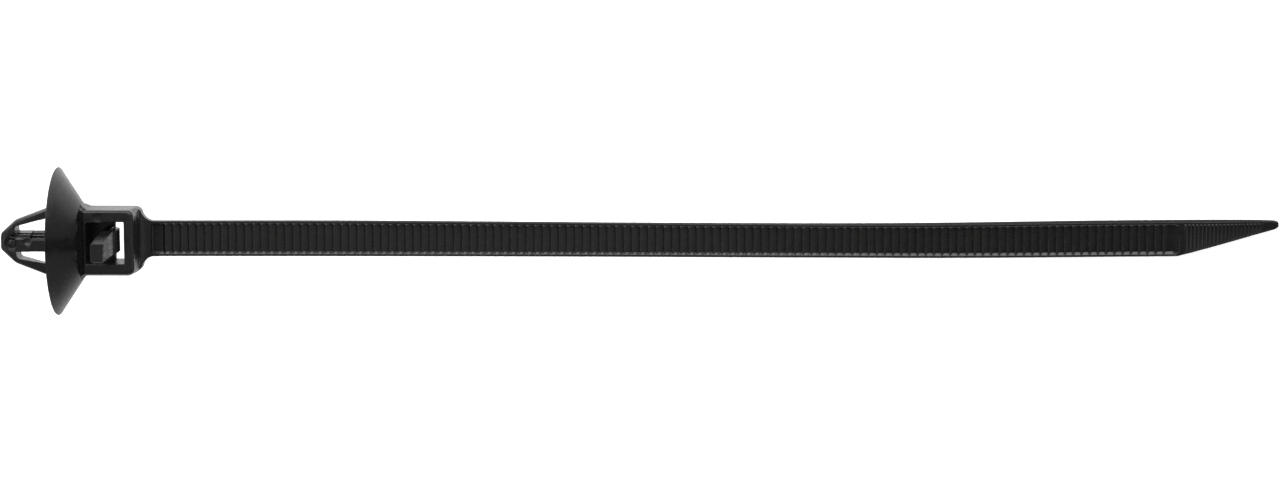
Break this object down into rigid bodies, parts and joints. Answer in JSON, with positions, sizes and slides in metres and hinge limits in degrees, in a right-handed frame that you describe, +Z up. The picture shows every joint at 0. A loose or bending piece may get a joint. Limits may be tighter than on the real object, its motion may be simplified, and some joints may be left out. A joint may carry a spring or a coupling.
{
  "type": "arrowhead push-mount cable tie",
  "caption": "Black nylon cable tie with an arrowhead push-in anchor, a dished disc, a square locking head with a release tab, and a toothed strap with a tapered tail.",
  "frame": {"origin": "bottom centre of the box around the tie as it lies at rest, toothed side up, on the rim of its disc and the flat of its tail", "axes": "+X along the strap from the anchor to the tail's tip (the strap rises about 2.3 degrees towards the head), +Z up"},
  "size_m": [0.1628, 0.019, 0.0211],
  "materials": {
    "black_nylon": "semi-matte moulded black nylon"
  },
  "bodies": {
    "root": {"cable_tie": "black_nylon"}
  },
  "joints": []
}
